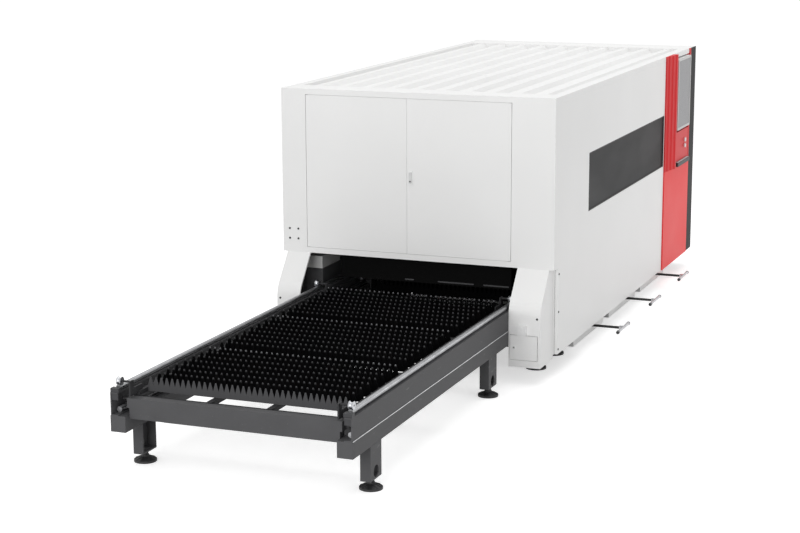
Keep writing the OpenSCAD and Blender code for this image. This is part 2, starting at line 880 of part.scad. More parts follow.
module button_box() color(red) difference() {
    along_x(niche_x, wall_x + box_out)
        round_rect([niche_mid - monitor_w/2, niche_z + box_up],
            [niche_mid + monitor_w/2, niche_z + box_up + button_box_h], box_r);
    for (k = [0, 1])
        rod_x(wall_x + box_out - button_stem - button_travel, wall_x + box_out + over,
            niche_mid + button_y, button_z(k), button_stem_d + 2*run_gap);
}

module push_button(k) color(white) {
    rod_x(wall_x + box_out + button_travel, wall_x + box_out + button_travel + button_h,
        niche_mid + button_y, button_z(k), button_d);
    rod_x(wall_x + box_out + button_travel - button_stem, wall_x + box_out + button_travel,
        niche_mid + button_y, button_z(k), button_stem_d);
}
module start_button() push_button(0);
module stop_button() push_button(1);

module keyboard_shelf() color(dark) translate([0, 0, niche_z]) linear_extrude(shelf_h)
    round_rect([niche_x, niche_mid - shelf_l/2], [wall_x + shelf_out, niche_mid + shelf_l/2], box_r);

// Frame of the exchange table
function table_leg_y(k) = let (inset = leg_off + table_leg_l/2)
    k == 0 ? -table_front + inset : -table_rear - inset;

module table_beams() color(grey) both_sides()
    box([beam_in, -table_front, beam_z], [beam_out, -table_rear, beam_top]);

module table_channels() color(grey) both_sides() {
    along_y(-table_front, -table_rear) track_section(web_out);
    rail_seats(rail_y0, -table_rear);
    rod_x(chain_x - sprocket_w/2, web_out - channel_t, idler_y, chain_z, idler_pin_d);
}

module table_crossbeams() color(grey) {
    y0 = -table_front + front_cross_y;
    y1 = y0 + front_cross_d;
    z0 = beam_top - front_cross_drop;
    z1 = z0 + front_cross_h;
    box([-beam_in, y0, z0], [beam_in, y1, z1]);
    both_sides() box([beam_in, y0, z1 - end_bar_h], [beam_in + front_cross_end, y1, z1]);
    for (s = low_cross_shares)
        let (y = -table_front + s*(table_front - table_rear))
        box([-beam_in, y - low_cross_w/2, beam_z + low_cross_over - low_cross_h],
            [beam_in, y + low_cross_w/2, beam_z + low_cross_over]);
}

module table_legs() color(grey) both_sides() for (k = [0, 1]) {
    y0 = table_leg_y(k) - table_leg_l/2;
    y1 = y0 + table_leg_l;
    x0 = beam_out - table_leg_w;
    floor_z = leg_foot_z + leg_foot_t;
    arch_top = floor_z + arch_up + arch_h - arch_w/2;
    difference() {
        box([x0, y0, leg_foot_z], [beam_out, y1, beam_z]);
        box([x0 - over, y0 + leg_plate, floor_z], [beam_out - leg_plate, y1 - leg_plate, beam_z + over]);
        along_x(x0 - over, beam_out + over) {
            translate([table_leg_y(k) - arch_w/2, floor_z + arch_up]) square([arch_w, arch_h - arch_w/2]);
            translate([table_leg_y(k), arch_top]) circle(arch_w/2);
        }
    }
}

// End block on each channel, with a plate over the upper part of the channel's mouth
module pallet_stop() color(dark) both_sides() {
    y0 = -table_front + stop_y;
    z1 = channel_top - channel_t;
    box([flange_in - stop_in, y0, channel_top], [web_out, y0 + stop_d, channel_top + stop_h]);
    box([flange_in, y0, z1 - stop_plate_h], [web_out - channel_t, y0 + stop_plate_t, z1]);
}

// Pallet with spiked slats
module slat() {
    pitch = slat_w/tooth_count;
    tips = [for (k = [0 : tooth_count - 1], p = [[0, -1], [1/2 - tip_share/2, 0], [1/2 + tip_share/2, 0]])
        [-slat_w/2 + (k + p[0])*pitch, slat_h + p[1]*tooth_h]];
    rest = [[slat_w/2, slat_h - tooth_h], [slat_w/2, 0], [-slat_w/2, 0]];
    along_y(-slat_t/2, slat_t/2) polygon(concat(tips, rest));
}

module pallet_slats() color(black)
    for (b = [0 : pallet_count_bays - 1], k = [0 : slats_per_bay - 1])
        translate([0, pallet_y0 + member_w/2 + b*bay_l + slat_lead + k*slat_pitch, slat_z]) slat();

module wheel_plate(y, back) {
    x0 = pallet_out - plate_t;
    z0 = pallet_z + plate_low;
    box([x0, min(y - plate_r, y + back), z0], [pallet_out, max(y + plate_r, y + back), z0 + plate_strap]);
    box([x0, y - plate_r, z0], [pallet_out, y + plate_r, axle_z + plate_top]);
    rod_x(x0, rail_x + wheel_w/2, y, axle_z, axle_d);
}

module pallet_frame(front_y, lug_z) color(dark) {
    both_sides() {
        box([side_in, pallet_y0, pallet_z], [pallet_out, pallet_y0 + pallet_l, pallet_z + side_h]);
        box([side_in - ledge_w, pallet_y0, slat_z - ledge_h], [side_in, pallet_y0 + pallet_l, slat_z]);
        box([long_x - long_w/2, pallet_y0, pallet_z], [long_x + long_w/2, pallet_y0 + pallet_l, slat_z]);
        wheel_plate(front_y, plate_back);
        wheel_plate(rear_wheel_y, -plate_back);
        box([pallet_out, lower_wheel_y - lug_w/2, lug_z],
            [chain_x - chain_w/2 - lug_gap, lower_wheel_y + lug_w/2, lug_z + lug_h]);
    }
    for (b = [0 : pallet_count_bays])
        box([-side_in, pallet_y0 + b*bay_l, pallet_z],
            [side_in, pallet_y0 + b*bay_l + member_w,
             pallet_z + (b == 0 || b == pallet_count_bays ? member_end : member_top)]);
}

// Grooved wheels of one pallet end
module wheel_pair(y) color(steel) both_sides() translate([rail_x, y, axle_z]) rotate([0, 90, 0])
    rotate_extrude() difference() {
        translate([axle_d/2 + run_gap, -wheel_w/2]) square([wheel_d/2 - axle_d/2 - run_gap, wheel_w]);
        translate([rail_r + groove_r, 0]) circle(rail_r + slide_gap);
    }

module to_lower() translate([0, stroke, -tier]) children();

module upper_pallet_frame() pallet_frame(front_wheel_y, chain_z + chain_r + chain_t/2 - lug_hold);
module upper_slats() pallet_slats();
module upper_front_wheels() wheel_pair(front_wheel_y);
module upper_rear_wheels() wheel_pair(rear_wheel_y);
module lower_pallet_frame() to_lower() pallet_frame(lower_wheel_y, chain_z - chain_r - chain_t/2 + tier);
module lower_slats() to_lower() pallet_slats();
module lower_front_wheels() to_lower() wheel_pair(lower_wheel_y);
module lower_rear_wheels() to_lower() wheel_pair(rear_wheel_y);

// Exchange drive
module chain_loop(r) {
    for (y = [idler_y, shaft_y]) translate([y, chain_z]) circle(r);
    translate([idler_y, chain_z - r]) square([shaft_y - idler_y, 2*r]);
}

module drive_chains() color(steel) both_sides()
    along_x(chain_x - chain_w/2, chain_x + chain_w/2) difference() {
        chain_loop(chain_r + chain_t/2);
        chain_loop(chain_r - chain_t/2);
    }

module sprocket(y) rod_x(chain_x - sprocket_w/2, chain_x + sprocket_w/2, y, chain_z,
    2*chain_r - chain_t - 2*slide_gap);

module drive_shaft() color(steel) {
    rod_x(-track_out, track_out, shaft_y, chain_z, shaft_d);
    both_sides() sprocket(shaft_y);
}

module idler_sprockets() color(steel) both_sides() difference() {
    sprocket(idler_y);
    rod_x(chain_x - sprocket_w, chain_x + sprocket_w, idler_y, chain_z, idler_pin_d + 2*run_gap);
}

module drive_motor() color(grey) {
    y1 = shaft_y - gear_lead + gear_l;
    difference() {
        box([-gear_w/2, shaft_y - gear_lead, cross_z1], [gear_w/2, y1, chain_z + gear_top]);
        rod_x(-gear_w, gear_w, shaft_y, chain_z, shaft_d + 2*run_gap);
    }
    rod_y(y1, y1 + motor_l, 0, chain_z, motor_d);
    for (k = [1 : fin_count])
        let (y = y1 + k*motor_l/(fin_count + 1)) rod_y(y - fin_t/2, y + fin_t/2, 0, chain_z, fin_d);
}

// Slag drawers with T-handles
module slag_drawer(k) color(dark) translate([0, drawer_first + k*drawer_pitch, 0]) {
    difference() {
        box([tray_x0, -drawer_w/2, tray_z0], [tray_x1, drawer_w/2, tray_z1]);
        box([tray_x0 + tray_t, -drawer_w/2 + tray_t, tray_z0 + tray_t],
            [tray_x1 - tray_t, drawer_w/2 - tray_t, tray_z1 + over]);
    }
    for (m = [0, 1]) mirror([0, m, 0])
        box([tray_x0, drawer_w/2, bed_z - runner_drop + runner_t + slide_gap],
            [tray_x1, drawer_w/2 + tray_lip, tray_z1]);
    rod_x(tray_x1, grip_x - sleeve_l, 0, rod_z, rod_d);
}

module drawer_grip(k) color(steel) translate([0, drawer_first + k*drawer_pitch, 0]) {
    rod_y(-grip_l/2, grip_l/2, grip_x, rod_z, grip_d);
    for (m = [0, 1]) mirror([0, m, 0]) rod_y(grip_l/2 - cap_l, grip_l/2, grip_x, rod_z, grip_d + cap_rim);
    rod_x(grip_x - sleeve_l, grip_x, 0, rod_z, sleeve_d);
}

module slag_drawer_1() slag_drawer(0);
module slag_drawer_2() slag_drawer(1);
module slag_drawer_3() slag_drawer(2);
module drawer_grip_1() drawer_grip(0);
module drawer_grip_2() drawer_grip(1);
module drawer_grip_3() drawer_grip(2);

// Gantry across the bed with the cutting head
module gantry() color(pale) {
    both_sides() box([guide_x - truck_w/2, gantry_y - truck_l/2, truck_z],
        [guide_x + truck_w/2 - gantry_end, gantry_y + truck_l/2, gantry_z]);
    difference() {
        box([-gantry_x, gantry_face, gantry_z], [gantry_x, gantry_y + gantry_d/2, gantry_z + gantry_h]);
        for (k = [0 : pocket_count - 1])
            let (w = 2*gantry_x/pocket_count, x = -gantry_x + k*w)
            box([x + pocket_gap/2, gantry_y + gantry_d/2 - gantry_pocket, gantry_z + pocket_gap],
                [x + w - pocket_gap/2, gantry_y + gantry_d/2 + over, gantry_z + gantry_h - pocket_gap]);
    }
    for (s = x_rail_shares)
        box([-gantry_x + x_rail_end, gantry_face - x_rail_d, gantry_z + s*gantry_h - x_rail_w/2],
            [gantry_x - x_rail_end, gantry_face, gantry_z + s*gantry_h + x_rail_w/2]);
}

module head_carriage() color(grey) {
    z0 = gantry_z - carriage_low;
    z1 = gantry_z + gantry_h + carriage_up;
    face = carriage_y - carriage_t;
    box([carriage_x - carriage_w/2, face, z0], [carriage_x + carriage_w/2, carriage_y, z1]);
    box([carriage_x - z_rail_w/2, face - z_rail_d, z0], [carriage_x + z_rail_w/2, face, z1]);
    box([carriage_x - z_motor_w/2, face, z1],
        [carriage_x + z_motor_w/2, face + z_motor_w, z1 + z_motor_h]);
}

module cutting_head() color(steel) {
    plate_z1 = head_plate_z + head_plate_h;
    face = head_y - head_plate_t;
    cap_r = head_cap_share*head_d;
    cap_z = head_z1 + head_cap_h;
    nozzle = [for (k = [0 : len(head_steps) - 1]) [nozzle_shares[k]*head_d, nozzle_z + head_steps[k]]];
    body = [[head_d/2, head_z1], [cap_r, head_z1], [cap_r, cap_z], [0, cap_z]];
    box([carriage_x - head_plate_w/2, face, head_plate_z], [carriage_x + head_plate_w/2, head_y, plate_z1]);
    translate([carriage_x, head_y - head_off, 0]) rotate_extrude()
        polygon(concat([[0, nozzle_z]], nozzle, body));
    box([carriage_x - head_d/2, head_y - head_off, head_plate_z], [carriage_x + head_d/2, face, plate_z1]);
}

seat() bed_frame();
seat() levelling_feet();
seat() y_guides();
seat() guide_end_covers();
seat() inner_tracks();
seat() pallet_rails();
seat() frame_posts();
seat() roof_frame();
seat() roof_sheet();
seat() wall_left();
seat() wall_right();
seat() wall_rear();
seat() side_window();
seat() end_panel();
seat() front_portal();
seat() mouth_shutter();
seat() door_left();
seat() door_right();
seat() hinge_pins();
seat() door_lock();
seat() lock_handle();
seat() leg_cover_left();
seat() leg_cover_right();
seat() hatch_door();
seat() sensor_box();
seat() cover_bolts();
seat() console_column();
seat() monitor_case();
seat() monitor_screen();
seat() button_box();
seat() start_button();
seat() stop_button();
seat() keyboard_shelf();
seat() table_beams();
seat() table_channels();
seat() table_crossbeams();
seat() table_legs();
seat() pallet_stop();
seat() upper_pallet_frame();
seat() upper_slats();
seat() upper_front_wheels();
seat() upper_rear_wheels();
seat() lower_pallet_frame();
seat() lower_slats();
seat() lower_front_wheels();
seat() lower_rear_wheels();
seat() drive_chains();
seat() drive_shaft();
seat() idler_sprockets();
seat() drive_motor();
seat() slag_drawer_1();
seat() slag_drawer_2();
seat() slag_drawer_3();
seat() drawer_grip_1();
seat() drawer_grip_2();
seat() drawer_grip_3();
seat() gantry();
seat() head_carriage();
seat() cutting_head();
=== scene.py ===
import math

import bmesh
import bpy
from mathutils import Matrix, Vector


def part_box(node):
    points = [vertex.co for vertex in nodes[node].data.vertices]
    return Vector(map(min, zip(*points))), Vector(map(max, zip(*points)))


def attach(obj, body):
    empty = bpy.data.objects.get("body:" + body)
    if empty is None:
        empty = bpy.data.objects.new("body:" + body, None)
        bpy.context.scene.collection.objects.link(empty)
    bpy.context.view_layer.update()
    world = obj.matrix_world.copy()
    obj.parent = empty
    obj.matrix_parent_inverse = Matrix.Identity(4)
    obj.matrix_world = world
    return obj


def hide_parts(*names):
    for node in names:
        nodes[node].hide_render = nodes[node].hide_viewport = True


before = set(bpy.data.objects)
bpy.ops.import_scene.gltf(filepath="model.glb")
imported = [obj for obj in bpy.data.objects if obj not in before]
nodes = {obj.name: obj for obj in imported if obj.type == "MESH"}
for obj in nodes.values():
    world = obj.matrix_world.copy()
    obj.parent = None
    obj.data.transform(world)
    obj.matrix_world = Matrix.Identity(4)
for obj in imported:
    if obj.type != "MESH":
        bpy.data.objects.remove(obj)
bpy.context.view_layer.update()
scene = bpy.context.scene
scene.view_settings.view_transform = "Standard"
print("stage: frame loaded with", len(nodes), "nodes")


# camera fitted to the photograph's edges
camera = {
    "place": (5.51475, -15.452, 4.179),
    "yaw": -21.512,
    "pitch": 11.808,
    "roll": -0.239,
    "lens": 83.43,
    "sensor": 36.0,
    "farClip": 400,
}


def makeCamera(c):
    yaw, pitch, roll = (math.radians(c[k]) for k in ("yaw", "pitch", "roll"))
    level = math.cos(pitch)
    ahead = Vector((math.sin(yaw) * level, math.cos(yaw) * level, -math.sin(pitch)))
    side = ahead.cross(Vector((0, 0, 1))).normalized()
    over = side.cross(ahead)
    right = math.cos(roll) * side + math.sin(roll) * over
    up = math.cos(roll) * over - math.sin(roll) * side
    data = bpy.data.cameras.new("camera")
    data.lens = c["lens"]
    data.sensor_fit = "HORIZONTAL"
    data.sensor_width = c["sensor"]
    data.clip_end = c["farClip"]
    eye = bpy.data.objects.new("camera", data)
    turn = Matrix((right, up, -ahead)).transposed().to_4x4()
    eye.matrix_world = Matrix.Translation(c["place"]) @ turn
    scene.collection.objects.link(eye)
    scene.camera = eye


makeCamera(camera)


# shader maths: a wire stands for a socket, and sums of wires add Math nodes
def plug(tree, slot, value):
    if isinstance(value, Wire):
        tree.links.new(value.socket, slot)
    else:
        slot.default_value = value


class Wire:
    def __init__(self, tree, socket):
        self.tree = tree
        self.socket = socket

    def calc(self, operation, first, second):
        made = self.tree.nodes.new("ShaderNodeMath")
        made.operation = operation
        plug(self.tree, made.inputs[0], first)
        plug(self.tree, made.inputs[1], second)
        return Wire(self.tree, made.outputs[0])

    def __add__(self, other):
        return self.calc("ADD", self, other)

    def __sub__(self, other):
        return self.calc("SUBTRACT", self, other)

    def __rsub__(self, other):
        return self.calc("SUBTRACT", other, self)

    def __mul__(self, other):
        return self.calc("MULTIPLY", self, other)

    def __gt__(self, other):
        return self.calc("GREATER_THAN", self, other)

    def __lt__(self, other):
        return self.calc("LESS_THAN", self, other)


class Finish:
    def __init__(self, name, constants):
        self.material = bpy.data.materials.new(name)
        self.material.use_nodes = True
        self.tree = self.material.node_tree
        self.shader = self.tree.nodes["Principled BSDF"]
        for socket, value in constants.items():
            self.shader.inputs[socket].default_value = value
        self.place = self.node("ShaderNodeTexCoord", {}, {}, "Object")
        self.x, self.y, self.z = (
            self.node("ShaderNodeSeparateXYZ", {}, {"Vector": self.place}, k) for k in "XYZ"
        )

    def node(self, kind, settings, values, out=0):
        made = self.tree.nodes.new(kind)
        for key, value in settings.items():
            setattr(made, key, value)
        for key, value in values.items():
            plug(self.tree, made.inputs[key], value)
        return Wire(self.tree, made.outputs[out])

    def noise(self, scale, detail=3.0, stretch=(1, 1, 1)):
        where = self.node("ShaderNodeMapping", {}, {"Vector": self.place, "Scale": stretch})
        values = {"Vector": where, "Scale": scale, "Detail": detail}
        return self.node("ShaderNodeTexNoise", {}, values, "Fac")

    def ramp(self, value, low, high, start=0.0, end=1.0):
        ends = {"Value": value, 1: low, 2: high, 3: start, 4: end}
        return self.node("ShaderNodeMapRange", {"clamp": True}, ends)

    def mix(self, share, first, second):
        settings = {"data_type": "RGBA"}
        return self.node("ShaderNodeMix", settings, {0: share, 6: first, 7: second}, 2)

    def shade(self, value, colour, dark, pale):
        return self.mix(self.ramp(value, 0.3, 0.7), tone(colour, dark), tone(colour, pale))

    def bump(self, height, strength, distance):
        values = {"Height": height, "Strength": strength, "Distance": distance}
        self.set("Normal", self.node("ShaderNodeBump", {}, values))

    def set(self, socket, value):
        plug(self.tree, self.shader.inputs[socket], value)


def tone(colour, share):
    return tuple(min(1.0, c * share) for c in colour[:3]) + (1.0,)


# powder coat: orange peel, slow shade drift and a little floor dust low down
def powderCoat(name, p):
    constants = {"Coat Weight": p["coat"], "Coat Roughness": 0.3, "Specular IOR Level": p["shine"]}
    f = Finish(name, constants)
    drift = f.noise(0.8, 3.0)
    peel = f.noise(p["peel"], 2.0)
    spots = f.noise(46.0, 6.0)
    body = f.shade(drift, p["colour"], 0.97, 1.02)
    dust = f.ramp(f.z, 0.42, 0.0) * f.ramp(spots, 0.35, 0.75) * p["dust"]
    f.set("Base Color", f.mix(dust, body, p["dirt"]))
    f.set("Roughness", f.ramp(drift, 0.25, 0.75, p["rough"] - 0.05, p["rough"] + 0.05) + dust * 0.2)
    f.bump(peel, p["peelBump"], 0.001)
    return f


# wall sheets: powder coat outside; on the faces towards the cutting room a near-black coat, partly soot
# and partly painted shade for the dark inside of the machine
def shellPaint(name, p, room):
    f = powderCoat(name, p)
    body = Wire(f.tree, f.shader.inputs["Base Color"].links[0].from_socket)
    sootAndShade = f.noise(7.0, 5.0)
    # inside the room box the colour turns near-black: soot and painted shade
    shadedInside = (f.x > room["x0"]) * (f.x < room["x1"]) * (f.y > room["y0"]) * (f.y < room["y1"])
    shadedLining = f.mix(f.ramp(sootAndShade, 0.3, 0.7), room["sootAndShade"], room["shadedLining"])
    f.set("Base Color", f.mix(shadedInside, body, shadedLining))
    return f


# textured structural paint with scuffs that show the primer
def framePaint(name, p):
    f = Finish(name, {"Specular IOR Level": p["shine"]})
    drift = f.noise(2.2, 4.0)
    grain = f.noise(620.0, 2.0)
    scuff = f.ramp(f.noise(34.0, 9.0, p["stretch"]), 0.66, 0.74)
    body = f.shade(drift, p["colour"], 0.86, 1.16)
    f.set("Base Color", f.mix(scuff * p["scuff"], body, p["primer"]))
    f.set("Roughness", f.ramp(drift, 0.25, 0.75, p["rough"] - 0.07, p["rough"] + 0.07) - scuff * 0.1)
    f.bump(grain + scuff * -0.4, p["grainBump"], 0.0012)
    return f


# ground or drawn steel with fine lines along one axis
def brightMetal(name, p):
    f = Finish(name, {"Metallic": 1.0})
    lines = f.noise(p["lines"], 4.0, p["stretch"])
    stain = f.noise(9.0, 5.0)
    clean, stained = tone(p["colour"], 1.05), tone(p["colour"], 0.82)
    f.set("Base Color", f.mix(f.ramp(stain, 0.3, 0.75), clean, stained))
    f.set("Roughness", f.ramp(lines, 0.2, 0.8, p["rough"] - 0.09, p["rough"] + 0.1))
    f.bump(lines, 0.12, 0.0004)
    return f


# moulded plastic with a fine spark-eroded grain
def moulded(name, p):
    f = Finish(name, {"Specular IOR Level": p["shine"]})
    grain = f.noise(900.0, 2.0)
    drift = f.noise(14.0, 3.0)
    f.set("Base Color", f.shade(drift, p["colour"], 1 - p["vary"], 1 + p["vary"]))
    f.set("Roughness", f.ramp(grain, 0.2, 0.8, p["rough"] - 0.06, p["rough"] + 0.06))
    f.bump(grain, p["bump"], 0.0006)
    return f


# scorched slat steel: mill scale and rust-brown bloom, near-black also as painted shade between the
# close-set slats; tips lighter towards the top, partly worn metal and partly painted highlight;
# brighter tips on the last slat of each bay as painted highlight; the first slat in frame paint
def scorchedSteel(name, p, low, high):
    f = Finish(name, {"Specular IOR Level": 0.02})
    scale = f.noise(22.0, 7.0)
    pits = f.noise(260.0, 4.0)
    bloom = f.ramp(f.noise(5.0, 5.0), 0.58, 0.78)
    # tips lighter towards the top: worn metal and painted highlight
    tip = f.ramp(f.z, high.z - p["tip"], high.z - p["tip"] / 5)
    first = f.y < low.y + p["first"]
    bay = (f.y - (low.y - p["lead"])) * (1 / p["bay"])
    # brighter tips on the last slat of each bay: painted highlight
    highlightRow = bay.calc("FRACT", bay, 0) > p["lastShare"]
    # near-black body: mill scale and painted shade between the slats
    body = f.mix(f.ramp(scale, 0.3, 0.7), p["black"], p["scale"])
    body = f.mix(first, f.mix(bloom * 0.5, body, p["brown"]), p["paint"])
    tipWearAndHighlight = f.mix(highlightRow, p["dull"], p["lastRowHighlight"])
    f.set("Base Color", f.mix(tip * f.ramp(pits, 0.3, 0.55, 0.5, 1.0), body, tipWearAndHighlight))
    f.set("Roughness", f.ramp(pits, 0.25, 0.8, 0.5, 0.7) - tip * 0.1)
    f.set("Metallic", tip * 0.3)
    f.bump(pits, 0.25, 0.001)
    return f


# tinted pane: dark body colour under a smooth gloss with faint smears, darker towards the pane's rear
# end as painted shade
def tintedPane(name, p):
    f = Finish(name, {"Specular IOR Level": 0.02})
    smear = f.noise(3.0, 6.0, (1, 0.35, 1))
    # painted shade: the colour darkens from the pane's front end to its rear end
    depth = f.ramp(f.y, p["near"], p["far"])
    f.set("Base Color", f.mix(depth, p["light"], p["dark"]))
    f.set("Roughness", f.ramp(smear, 0.35, 0.75, 0.3, 0.42))
    return f


# red console: the lower door is paler than the fluted cheek, painted light standing for the light
# falling on the door
def consolePaint(name, p):
    f = Finish(name, {"Specular IOR Level": 0.05})
    drift = f.noise(1.6, 3.0)
    peel = f.noise(460.0, 2.0)
    # paler red on the lower door: painted light
    lower = f.ramp(f.z, p["split"] + 0.005, p["split"] - 0.005)
    deep = f.shade(drift, p["cheek"], 0.96, 1.04)
    f.set("Base Color", f.mix(lower, deep, p["door"]))
    f.set("Roughness", f.ramp(drift, 0.25, 0.75, 0.32, 0.42))
    f.bump(peel, 0.035, 0.001)
    return f


# slag drawer: galvanised tray, black draw rod in front of it
def drawerFinish(name, p):
    f = Finish(name, {"Specular IOR Level": 0.35})
    drift = f.noise(5.0, 4.0)
    grain = f.noise(300.0, 2.0)
    rod = f.x > p["front"]
    tray = f.shade(drift, p["colour"], 0.93, 1.05)
    f.set("Base Color", f.mix(rod, tray, p["rod"]))
    f.set("Roughness", f.ramp(grain, 0.2, 0.8, 0.42, 0.54))
    f.bump(grain, 0.05, 0.001)
    return f


# cutting head: copper nozzle, white ceramic ring, then drawn steel
def headFinish(name, p):
    f = Finish(name, {})
    lines = f.noise(120.0, 3.0, (1, 1, 6))
    tip = f.ramp(f.z, p["tipTop"] + 0.0005, p["tipTop"] - 0.0005)
    ring = f.ramp(f.z, p["ringTop"] + 0.0005, p["ringTop"] - 0.0005) * (1 - tip)
    steel = f.mix(f.ramp(lines, 0.3, 0.7), p["steel"], tone(p["steel"], 0.85))
    f.set("Base Color", f.mix(tip, f.mix(ring, steel, p["ceramic"]), p["copper"]))
    f.set("Metallic", 1 - ring)
    f.set("Roughness", f.ramp(lines, 0.2, 0.8, 0.24, 0.4) + ring * 0.2)
    f.bump(lines, 0.08, 0.0005)
    return f


# gantry: pale casting with bright guide rails along its front face
def gantryFinish(name, p):
    f = Finish(name, {"Specular IOR Level": 0.45})
    drift = f.noise(3.0, 4.0)
    lines = f.noise(70.0, 4.0, (0.1, 1, 1))
    rail = f.ramp(f.y, p["face"] - 0.0005, p["face"] - 0.0015) * (f.z > p["beamLow"])
    paint = f.shade(drift, p["colour"], 0.94, 1.05)
    f.set("Base Color", f.mix(rail, paint, p["steel"]))
    f.set("Metallic", rail)
    f.set("Roughness", 0.46 - rail * f.ramp(lines, 0.2, 0.8, 0.1, 0.24))
    f.bump(lines * rail, 0.06, 0.0006)
    return f


paints = {
    "white": {"colour": (0.84, 0.84, 0.835), "dirt": (0.5, 0.49, 0.47, 1), "dust": 0.12, "rough": 0.46,
              "coat": 0.08, "shine": 0.4, "peel": 420.0, "peelBump": 0.03},
    "light": {"colour": (0.62, 0.62, 0.615), "dirt": (0.3, 0.29, 0.28, 1), "dust": 0.1, "rough": 0.44,
              "coat": 0.0, "shine": 0.1, "peel": 420.0, "peelBump": 0.04},
    "grey": {"colour": (0.0165, 0.0165, 0.0173), "dirt": (0.12, 0.12, 0.115, 1), "dust": 0.3,
             "rough": 0.42, "coat": 0.0, "shine": 0.03, "peel": 420.0, "peelBump": 0.05},
    "dark": {"colour": (0.05, 0.05, 0.053), "dirt": (0.12, 0.12, 0.115, 1), "dust": 0.3, "rough": 0.4,
             "coat": 0.0, "shine": 0.15, "peel": 420.0, "peelBump": 0.05},
    # near-black: soot and painted shade for the dark inside of the machine
    "sootAndShade": {"colour": (0.005, 0.005, 0.005), "dirt": (0.02, 0.02, 0.02, 1), "dust": 0.3, "rough": 0.6,
             "coat": 0.0, "shine": 0.02, "peel": 120.0, "peelBump": 0.08},
}
framePaints = {
    "table": {"colour": (0.075, 0.075, 0.078), "primer": (0.17, 0.17, 0.17, 1), "scuff": 0.35,
              "rough": 0.5, "stretch": (1, 0.25, 1), "grainBump": 0.12, "shine": 0.12},
    "pallet": {"colour": (0.035, 0.035, 0.037), "primer": (0.11, 0.108, 0.105, 1), "scuff": 0.4,
               "rough": 0.52, "stretch": (0.3, 1, 1), "grainBump": 0.14, "shine": 0.1},
}
metals = {
    "rail": {"colour": (0.34, 0.345, 0.355), "rough": 0.38, "lines": 90.0, "stretch": (1, 0.04, 1)},
    "turned": {"colour": (0.55, 0.56, 0.58), "rough": 0.34, "lines": 160.0, "stretch": (4, 1, 1)},
    "oiled": {"colour": (0.13, 0.13, 0.135), "rough": 0.42, "lines": 160.0, "stretch": (4, 1, 1)},
    "polished": {"colour": (0.5, 0.505, 0.52), "rough": 0.2, "lines": 120.0, "stretch": (1, 0.1, 1)},
    # pale strip on the beam edges: bare steel with a painted highlight
    "steelEdgeLit": {"colour": (0.82, 0.825, 0.84), "rough": 0.5, "lines": 90.0, "stretch": (1, 0.04, 1)},
}
plastics = {
    "black": {"colour": (0.022, 0.022, 0.023), "rough": 0.5, "shine": 0.4, "bump": 0.1, "vary": 0.1},
    "white": {"colour": (0.82, 0.82, 0.82), "rough": 0.35, "shine": 0.5, "bump": 0.04, "vary": 0.02},
    "screen": {"colour": (0.3, 0.3, 0.31), "rough": 0.3, "shine": 0.08, "bump": 0.0, "vary": 0.015},
    "lever": {"colour": (0.62, 0.62, 0.62), "rough": 0.4, "shine": 0.45, "bump": 0.04, "vary": 0.04},
}
# slat colours: the near-black body is mill scale and painted shade; tip colours are wear and painted
# highlight; the brighter last-row tips are painted highlight
slatLook = {"black": (0.001, 0.001, 0.0012, 1), "scale": (0.0032, 0.0032, 0.0035, 1),
            "brown": (0.006, 0.0045, 0.004, 1), "paint": (0.075, 0.075, 0.078, 1),
            "dull": (0.085, 0.085, 0.088, 1), "lastRowHighlight": (0.22, 0.22, 0.229, 1), "tip": 0.015,
            "first": 0.012, "bay": 1.13, "lead": 0.097, "lastShare": 0.88}
# darker copy of the slat colours for the lower pallet: painted shade for its place inside the dark
# machine
shadedSlatLook = {**slatLook, "paint": (0.006, 0.006, 0.0065, 1), "lastRowHighlight": (0.04, 0.04, 0.042, 1),
                 "dull": (0.02, 0.02, 0.021, 1)}
# where a finish changes, measured from the edge of a node's own box
splits = {"nozzle": 0.014, "ring": 0.06, "tray": 1.951, "sheet": 0.0285, "portal": 0.125,
          "beamFace": 0.03, "truck": 0.07}
windowLow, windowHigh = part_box("side_window")
# pane colours: lighter front end, darker rear end as painted shade
paneLook = {"near": windowLow.y, "far": windowHigh.y, "light": (0.035, 0.035, 0.036, 1),
            "dark": (0.029, 0.029, 0.03, 1)}
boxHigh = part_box("button_box")[1]
shelfLow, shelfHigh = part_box("keyboard_shelf")
# door red paler than cheek red: painted light
consoleLook = {"split": shelfLow.z, "cheek": (0.69, 0.042, 0.047), "door": (0.86, 0.056, 0.056, 1)}
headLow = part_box("cutting_head")[0]
headLook = {"tipTop": headLow.z + splits["nozzle"], "ringTop": headLow.z + splits["ring"],
            "copper": (0.72, 0.36, 0.2, 1), "ceramic": (0.78, 0.76, 0.72, 1),
            "steel": (0.6, 0.61, 0.63, 1)}
drawerLook = {"front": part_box("slag_drawer_1")[0].x + splits["tray"], "colour": (0.78, 0.78, 0.775),
              "rod": (0.012, 0.012, 0.012, 1)}
# room box that takes the near-black inner coat: soot and painted shade
roomLook = {"x0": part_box("wall_left")[0].x + splits["sheet"],
            "x1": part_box("wall_right")[1].x - splits["sheet"],
            "y0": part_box("front_portal")[0].y + splits["portal"],
            "y1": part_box("wall_rear")[1].y - splits["sheet"],
            "sootAndShade": (0.008, 0.008, 0.008, 1), "shadedLining": (0.016, 0.016, 0.017, 1)}
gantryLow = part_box("gantry")[0]
gantryLook = {"face": gantryLow.y + splits["beamFace"], "beamLow": gantryLow.z + splits["truck"],
              "colour": (0.42, 0.42, 0.425), "steel": (0.66, 0.67, 0.69, 1)}

